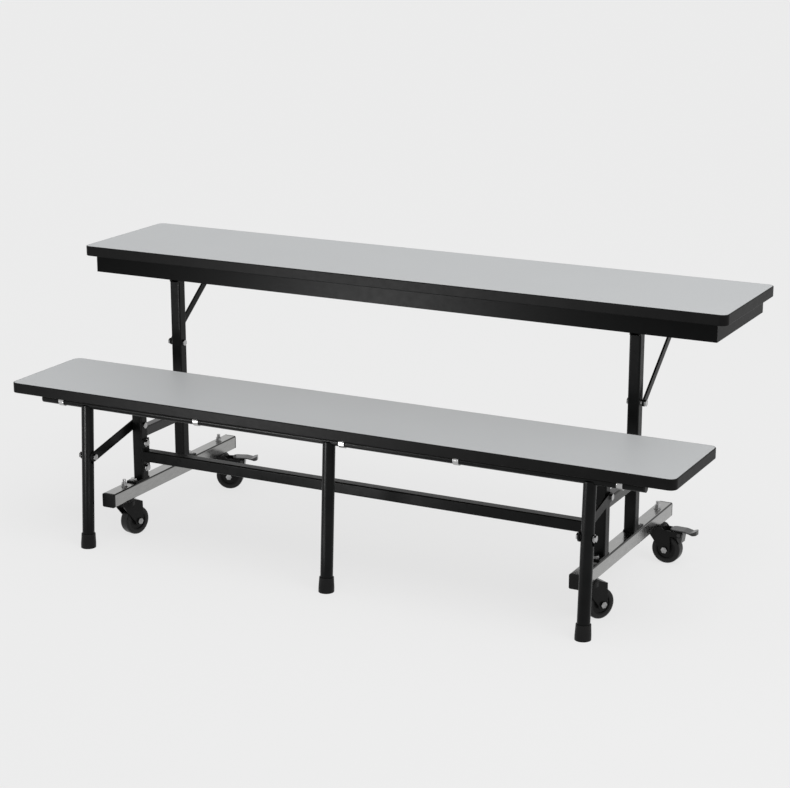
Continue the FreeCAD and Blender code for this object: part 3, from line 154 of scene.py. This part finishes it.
def plated(name, dark, light, roughness, stretch=(1.0, 1.0, 1.0), corner=0.0):
    """Zinc-plated steel with cloudy plating; corner paints a dark reflection onto the rolled edges that face
    upwards.
    """
    material, tree, shader = new_material(name)
    shader.inputs["Metallic"].default_value = 1.0
    place = coordinates(tree, stretch)
    cloud = ranged(tree, noise(tree, place, 40.0, 4.0, 0.5), 0.0, 1.0)
    colour = blended(tree, cloud, dark, light)
    if corner:
        # Painted reflection: the upward-facing rolled edges are darkened in the base colour, standing in for
        # a dark reflection.
        colour = blended(tree, painted_reflection_mask(tree, corner), colour, PAINTED_CORNER_REFLECTION)
    tree.links.new(colour, shader.inputs["Base Color"])
    low, high = roughness
    lines = noise(tree, place, 160.0, 3.0, 0.5)
    tree.links.new(ranged(tree, lines, low, high), shader.inputs["Roughness"])
    bumped(tree, shader, lines, 0.02, 0.0002, 0.0006)
    return material


def painted_reflection_mask(tree, amount):
    """A factor that is amount where a surface leans between upwards and sideways, else 0; it places the
    painted dark reflection.
    """
    source = tree.nodes.new("ShaderNodeNewGeometry")
    split = tree.nodes.new("ShaderNodeSeparateXYZ")
    tree.links.new(source.outputs["Normal"], split.inputs["Vector"])
    above = ranged(tree, split.outputs["Z"], 0.0, amount, 0.1, 0.3)
    below = ranged(tree, split.outputs["Z"], 1.0, 0.0, 0.93, 0.99)
    return combined(tree, "MULTIPLY", above, below)


def moulded(name, dark, light, roughness, gloss=0.08):
    """Black moulded plastic or rubber with a fine grain."""
    material, tree, shader = new_material(name)
    shader.inputs["Specular IOR Level"].default_value = gloss
    place = coordinates(tree)
    patches = ranged(tree, noise(tree, place, 35.0, 3.0), 0.0, 1.0)
    tree.links.new(blended(tree, patches, dark, light), shader.inputs["Base Color"])
    low, high = roughness
    tree.links.new(ranged(tree, noise(tree, place, 90.0, 3.0), low, high), shader.inputs["Roughness"])
    bumped(tree, shader, noise(tree, place, 700.0, 2.0), 0.15, 0.0003, 0.0008)
    return material


def particle_board():
    """Pressed wood chips, seen only where the board is cut."""
    material, tree, shader = new_material("particle_board")
    place = coordinates(tree)
    chips = ranged(tree, noise(tree, place, 260.0, 5.0, 0.7), 0.0, 1.0)
    wood = blended(tree, chips, (0.32, 0.20, 0.10), (0.58, 0.42, 0.25))
    tree.links.new(wood, shader.inputs["Base Color"])
    shader.inputs["Roughness"].default_value = 0.8
    bumped(tree, shader, chips, 0.3, 0.0005)
    return material


def backing_sheet():
    """Brown backing sheet on the underside, with a faint long grain."""
    material, tree, shader = new_material("backing_sheet")
    place = coordinates(tree, (1.0, 12.0, 12.0))
    grain = ranged(tree, noise(tree, place, 14.0, 5.0, 0.6), 0.0, 1.0)
    brown = blended(tree, grain, (0.10, 0.065, 0.04), (0.15, 0.10, 0.062))
    tree.links.new(brown, shader.inputs["Base Color"])
    shader.inputs["Roughness"].default_value = 0.6
    bumped(tree, shader, grain, 0.1, 0.0003)
    return material


def brake_paint():
    """Glossy black lever paint, lighter where the pedal lies above its bracket."""
    material, tree, shader = new_material("lever_paint")
    shader.inputs["Specular IOR Level"].default_value = 0.5
    place = coordinates(tree)
    split = tree.nodes.new("ShaderNodeSeparateXYZ")
    tree.links.new(place, split.inputs["Vector"])
    pedal = ranged(tree, split.outputs["Z"], 0.0, 1.0, BRACKET_TOP, PEDAL_BOTTOM)
    mottle = ranged(tree, noise(tree, place, 120.0, 4.0), 0.0, 1.0)
    plate = blended(tree, mottle, (0.012, 0.012, 0.013), (0.026, 0.026, 0.027))
    bracket = blended(tree, mottle, (0.006, 0.006, 0.006), (0.012, 0.012, 0.012))
    tree.links.new(blended(tree, pedal, bracket, plate), shader.inputs["Base Color"])
    tree.links.new(ranged(tree, mottle, 0.16, 0.26, 0.0, 1.0), shader.inputs["Roughness"])
    bumped(tree, shader, noise(tree, place, 500.0, 2.0), 0.08, 0.0002, 0.0008)
    return material


# The finish of each material slot: name, darker and lighter colour, range of roughness, gloss.
MATERIALS = {
    "laminate": laminate(),
    "backing": backing_sheet(),
    "board_core": particle_board(),
    "edge_band": moulded(
        "edge_moulding", (0.006, 0.006, 0.006), (0.008, 0.008, 0.008), (0.36, 0.40), gloss=0.055
    ),
    "apron_steel": coated(
        "apron_coat", (0.003, 0.0032, 0.0032), (0.004, 0.0042, 0.0042), (0.30, 0.33), gloss=0.04
    ),
    "frame_steel": coated(
        "frame_coat", (0.003, 0.0033, 0.0033), (0.006, 0.0063, 0.0063), (0.26, 0.34), gloss=0.095
    ),
    "clip_steel": plated("zinc_clip", (0.34, 0.34, 0.34), (0.52, 0.52, 0.52), (0.16, 0.28)),
    "link_steel": coated(
        "link_coat", (0.006, 0.0063, 0.0063), (0.010, 0.0103, 0.0103), (0.22, 0.30), gloss=0.30
    ),
    "zinc_steel": plated(
        "zinc_runner", (0.31, 0.31, 0.305), (0.35, 0.35, 0.345), (0.18, 0.21),
        stretch=(3.0, 1.0, 3.0), corner=0.9,
    ),
    "bolt_steel": plated(
        "zinc_bolt", (0.20, 0.20, 0.20), (0.50, 0.50, 0.50), (0.10, 0.20),
        stretch=(1.6, 1.6, 1.6), corner=0.55,
    ),
    "cap_plastic": moulded(
        "cap_plastic", (0.006, 0.006, 0.006), (0.009, 0.009, 0.009), (0.40, 0.50), gloss=0.12
    ),
    "slider_plastic": moulded("slider_nylon", (0.02, 0.02, 0.02), (0.03, 0.03, 0.03), (0.45, 0.55)),
    "tyre": moulded(
        "tyre_rubber", (0.005, 0.005, 0.005), (0.008, 0.008, 0.008), (0.30, 0.40), gloss=0.22
    ),
    "wheel_hub": moulded(
        "hub_plastic", (0.005, 0.005, 0.005), (0.008, 0.008, 0.008), (0.28, 0.38), gloss=0.12
    ),
    "fork_steel": coated(
        "fork_coat", (0.004, 0.004, 0.004), (0.007, 0.007, 0.007), (0.22, 0.32), gloss=0.12
    ),
    "lever_steel": brake_paint(),
}


def dress_nodes():
    """Give every CAD node the detailed material of its slot."""
    slots = {part["node"]: part["material_slot"] for part in frame["record"]["subparts"]}
    for name, item in nodes.items():
        for holder in item.material_slots:
            holder.material = MATERIALS[slots[name]]


# ---------------------------------------------------------------- stage


BACKDROP = 0.8450
FLOOR_ALBEDO = 0.86
FLOOR_SIZE = 40.0
# The floor lies this far under the feet, so that the two faces never coincide.
FLOOR_DROP = 0.0002
# The share of the floor's look that the light and the object's shadow make.
SHADOW_SHARE = 0.15
SKY_LIGHT = 0.5
SUN_POWER = 1.36
SUN_DIRECTION = (-0.35, 0.30, -1.0)
SUN_SOFTNESS = 50.0
# Cards near the floor that only show in gloss: they give the dark front faces their highlights.
CARD_HEIGHT = 0.02
CARDS = (
    ("far_card", (-1.30, -2.55), (0.5, 0.9), 165.0),
    ("near_card", (-1.00, -1.55), (0.5, 0.6), 16.0),
    ("low_card", (-0.22, -0.72), (0.35, 0.3), 1.6),
)
CAMERA_PLACE = (2.3691, -4.5493, 1.8412)
CAMERA_DOWN = 0.2693
CAMERA_TURN = 0.4745


def build_floor():
    """A plain pale floor with a faint shadow that runs into the backdrop."""
    mesh = bpy.data.meshes.new("floor")
    builder = bmesh.new()
    bmesh.ops.create_grid(builder, x_segments=2, y_segments=2, size=FLOOR_SIZE)
    builder.to_mesh(mesh)
    builder.free()
    floor = bpy.data.objects.new("floor", mesh)
    bpy.context.scene.collection.objects.link(floor)
    floor.location.z = -FLOOR_DROP
    material = bpy.data.materials.new("floor_paper")
    material.use_nodes = True
    tree = material.node_tree
    tree.nodes.clear()
    output = tree.nodes.new("ShaderNodeOutputMaterial")
    glow = tree.nodes.new("ShaderNodeEmission")
    glow.inputs["Color"].default_value = grey(BACKDROP)
    paper = tree.nodes.new("ShaderNodeBsdfDiffuse")
    paper.inputs["Color"].default_value = grey(FLOOR_ALBEDO)
    mix = tree.nodes.new("ShaderNodeMixShader")
    mix.inputs["Fac"].default_value = SHADOW_SHARE
    tree.links.new(glow.outputs["Emission"], mix.inputs[1])
    tree.links.new(paper.outputs["BSDF"], mix.inputs[2])
    tree.links.new(mix.outputs["Shader"], output.inputs["Surface"])
    mesh.materials.append(material)


def build_world():
    """A pale surround: the backdrop to the camera and in reflections, a plain light to the rest."""
    world = bpy.data.worlds.new("studio")
    bpy.context.scene.world = world
    world.use_nodes = True
    tree = world.node_tree
    tree.nodes.clear()
    output = tree.nodes.new("ShaderNodeOutputWorld")
    seen = tree.nodes.new("ShaderNodeBackground")
    seen.inputs["Color"].default_value = grey(BACKDROP)
    light = tree.nodes.new("ShaderNodeBackground")
    light.inputs["Color"].default_value = grey(1.0)
    light.inputs["Strength"].default_value = SKY_LIGHT
    path = tree.nodes.new("ShaderNodeLightPath")
    chosen = path.outputs["Is Camera Ray"]
    for ray in ("Is Glossy Ray", "Is Transmission Ray"):
        chosen = combined(tree, "MAXIMUM", chosen, path.outputs[ray])
    mix = tree.nodes.new("ShaderNodeMixShader")
    tree.links.new(chosen, mix.inputs["Fac"])
    tree.links.new(light.outputs["Background"], mix.inputs[1])
    tree.links.new(seen.outputs["Background"], mix.inputs[2])
    tree.links.new(mix.outputs["Shader"], output.inputs["Surface"])


def add_sun(name, direction, power, softness):
    """A very soft distant lamp that shines along a direction."""
    light = bpy.data.lights.new(name, "SUN")
    light.energy = power
    light.angle = math.radians(softness)
    item = bpy.data.objects.new(name, light)
    bpy.context.scene.collection.objects.link(item)
    item.rotation_euler = Vector(direction).to_track_quat("-Z", "Y").to_euler()


def add_softbox(name, place, aim, size, power):
    """A rectangular lamp that the camera doesn't see."""
    light = bpy.data.lights.new(name, "AREA")
    light.shape = "RECTANGLE"
    light.size, light.size_y = size
    light.energy = power
    item = bpy.data.objects.new(name, light)
    bpy.context.scene.collection.objects.link(item)
    item.location = place
    item.rotation_euler = (Vector(aim) - Vector(place)).to_track_quat("-Z", "Y").to_euler()
    item.visible_camera = False
    return item


def add_camera():
    """A long lens at the photograph's standing height, off the table's right end."""
    camera = bpy.data.cameras.new("camera")
    camera.sensor_width = 36.0
    camera.lens = 93.46
    camera.clip_end = 100.0
    item = bpy.data.objects.new("camera", camera)
    bpy.context.scene.collection.objects.link(item)
    item.location = CAMERA_PLACE
    item.rotation_euler = (math.pi / 2 - CAMERA_DOWN, 0.0, CAMERA_TURN)
    bpy.context.scene.camera = item


def build_stage():
    """The floor, surround, lamps and camera."""
    bpy.context.scene.view_settings.view_transform = "Standard"
    build_floor()
    build_world()
    add_sun("key_light", SUN_DIRECTION, SUN_POWER, SUN_SOFTNESS)
    add_softbox("right_light", (2.6, -0.9, 2.2), (0.6, -0.3, 0.5), (2.2, 2.2), 20.0)
    for name, (x, y), size, power in CARDS:
        card = add_softbox(name, (x, y, CARD_HEIGHT), (x, y, 1.0), size, power)
        card.visible_diffuse = False
    add_camera()


# ---------------------------------------------------------------- the scene

dress_nodes()
build_stage()
